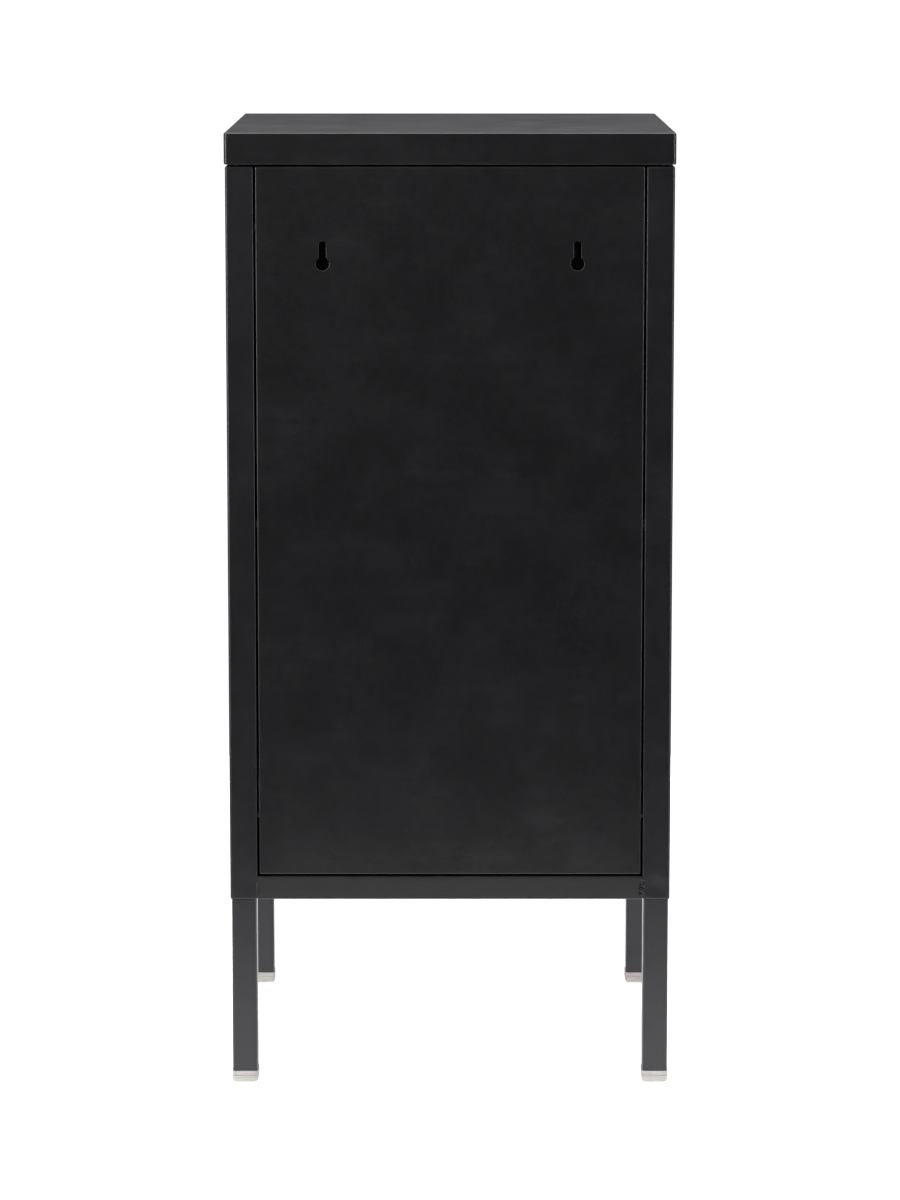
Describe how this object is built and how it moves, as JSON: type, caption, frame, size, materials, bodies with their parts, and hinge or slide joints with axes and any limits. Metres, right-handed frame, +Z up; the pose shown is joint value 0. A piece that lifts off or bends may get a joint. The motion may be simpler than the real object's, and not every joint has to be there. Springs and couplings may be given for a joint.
{
  "type": "tall chest of drawers",
  "caption": "Tall narrow chest of drawers in folded black sheet steel, with a box lid, square tube legs on plastic glides and keyholes in the back panel.",
  "frame": {"origin": "on the floor, under the middle of the chest's whole outline, handles included", "axes": "+Z up, +Y out of the back panel towards the wall, so the drawers open towards -Y, and +X to the right seen from the front"},
  "size_m": [0.442, 0.427, 0.955],
  "materials": {
    "black_powder_coat": "satin black powder coat with a very fine texture",
    "black_handle": "satin black powder coat, smoother than the body",
    "zinc_plated_steel": "bright zinc plating with faint drawing lines",
    "bearing_steel": "bright steel, lightly greased",
    "white_plastic": "milky white moulded polyethylene"
  },
  "bodies": {
    "carcass": {"lid": "black_powder_coat", "side_panel_left": "black_powder_coat", "side_panel_right": "black_powder_coat", "back_panel": "black_powder_coat", "bottom_panel": "black_powder_coat", "cross_rails": "black_powder_coat", "leg_front_left": "black_powder_coat", "leg_front_right": "black_powder_coat", "leg_rear_left": "black_powder_coat", "leg_rear_right": "black_powder_coat", "foot_front_left": "white_plastic", "foot_front_right": "white_plastic", "foot_rear_left": "white_plastic", "foot_rear_right": "white_plastic", "corner_gussets": "zinc_plated_steel", "leg_inserts": "zinc_plated_steel", "leg_bolts": "zinc_plated_steel", "lid_nuts": "zinc_plated_steel", "lid_screws": "zinc_plated_steel", "frame_screws": "zinc_plated_steel", "drawer_1_runner_left": "zinc_plated_steel", "drawer_1_runner_right": "zinc_plated_steel", "drawer_2_runner_left": "zinc_plated_steel", "drawer_2_runner_right": "zinc_plated_steel", "drawer_3_runner_left": "zinc_plated_steel", "drawer_3_runner_right": "zinc_plated_steel", "drawer_4_runner_left": "zinc_plated_steel", "drawer_4_runner_right": "zinc_plated_steel"},
    "drawer_1": {"drawer_1_box": "black_powder_coat", "drawer_1_front": "black_powder_coat", "drawer_1_handle": "black_handle", "drawer_1_screws": "zinc_plated_steel", "drawer_1_rail_left": "zinc_plated_steel", "drawer_1_rail_right": "zinc_plated_steel"},
    "drawer_1_cage_left": {"drawer_1_ball_cage_left": "bearing_steel"},
    "drawer_1_cage_right": {"drawer_1_ball_cage_right": "bearing_steel"},
    "drawer_2": {"drawer_2_box": "black_powder_coat", "drawer_2_front": "black_powder_coat", "drawer_2_handle": "black_handle", "drawer_2_screws": "zinc_plated_steel", "drawer_2_rail_left": "zinc_plated_steel", "drawer_2_rail_right": "zinc_plated_steel"},
    "drawer_2_cage_left": {"drawer_2_ball_cage_left": "bearing_steel"},
    "drawer_2_cage_right": {"drawer_2_ball_cage_right": "bearing_steel"},
    "drawer_3": {"drawer_3_box": "black_powder_coat", "drawer_3_front": "black_powder_coat", "drawer_3_handle": "black_handle", "drawer_3_screws": "zinc_plated_steel", "drawer_3_rail_left": "zinc_plated_steel", "drawer_3_rail_right": "zinc_plated_steel"},
    "drawer_3_cage_left": {"drawer_3_ball_cage_left": "bearing_steel"},
    "drawer_3_cage_right": {"drawer_3_ball_cage_right": "bearing_steel"},
    "drawer_4": {"drawer_4_box": "black_powder_coat", "drawer_4_front": "black_powder_coat", "drawer_4_handle": "black_handle", "drawer_4_screws": "zinc_plated_steel", "drawer_4_rail_left": "zinc_plated_steel", "drawer_4_rail_right": "zinc_plated_steel"},
    "drawer_4_cage_left": {"drawer_4_ball_cage_left": "bearing_steel"},
    "drawer_4_cage_right": {"drawer_4_ball_cage_right": "bearing_steel"}
  },
  "joints": [
    {"name": "drawer_1_slide", "type": "slide", "parent": "carcass", "child": "drawer_1", "axis": [0, -1, 0], "range_m": [0, 0.26]},
    {"name": "drawer_1_cage_left_slide", "type": "slide", "parent": "carcass", "child": "drawer_1_cage_left", "axis": [0, -1, 0], "range_m": [0, 0.13]},
    {"name": "drawer_1_cage_right_slide", "type": "slide", "parent": "carcass", "child": "drawer_1_cage_right", "axis": [0, -1, 0], "range_m": [0, 0.13]},
    {"name": "drawer_2_slide", "type": "slide", "parent": "carcass", "child": "drawer_2", "axis": [0, -1, 0], "range_m": [0, 0.26]},
    {"name": "drawer_2_cage_left_slide", "type": "slide", "parent": "carcass", "child": "drawer_2_cage_left", "axis": [0, -1, 0], "range_m": [0, 0.13]},
    {"name": "drawer_2_cage_right_slide", "type": "slide", "parent": "carcass", "child": "drawer_2_cage_right", "axis": [0, -1, 0], "range_m": [0, 0.13]},
    {"name": "drawer_3_slide", "type": "slide", "parent": "carcass", "child": "drawer_3", "axis": [0, -1, 0], "range_m": [0, 0.26]},
    {"name": "drawer_3_cage_left_slide", "type": "slide", "parent": "carcass", "child": "drawer_3_cage_left", "axis": [0, -1, 0], "range_m": [0, 0.13]},
    {"name": "drawer_3_cage_right_slide", "type": "slide", "parent": "carcass", "child": "drawer_3_cage_right", "axis": [0, -1, 0], "range_m": [0, 0.13]},
    {"name": "drawer_4_slide", "type": "slide", "parent": "carcass", "child": "drawer_4", "axis": [0, -1, 0], "range_m": [0, 0.26]},
    {"name": "drawer_4_cage_left_slide", "type": "slide", "parent": "carcass", "child": "drawer_4_cage_left", "axis": [0, -1, 0], "range_m": [0, 0.13]},
    {"name": "drawer_4_cage_right_slide", "type": "slide", "parent": "carcass", "child": "drawer_4_cage_right", "axis": [0, -1, 0], "range_m": [0, 0.13]}
  ],
  "couplings": [
    {"joint": "drawer_1_cage_left_slide", "follows": "drawer_1_slide", "ratio": 0.5},
    {"joint": "drawer_1_cage_right_slide", "follows": "drawer_1_slide", "ratio": 0.5},
    {"joint": "drawer_2_cage_left_slide", "follows": "drawer_2_slide", "ratio": 0.5},
    {"joint": "drawer_2_cage_right_slide", "follows": "drawer_2_slide", "ratio": 0.5},
    {"joint": "drawer_3_cage_left_slide", "follows": "drawer_3_slide", "ratio": 0.5},
    {"joint": "drawer_3_cage_right_slide", "follows": "drawer_3_slide", "ratio": 0.5},
    {"joint": "drawer_4_cage_left_slide", "follows": "drawer_4_slide", "ratio": 0.5},
    {"joint": "drawer_4_cage_right_slide", "follows": "drawer_4_slide", "ratio": 0.5}
  ]
}
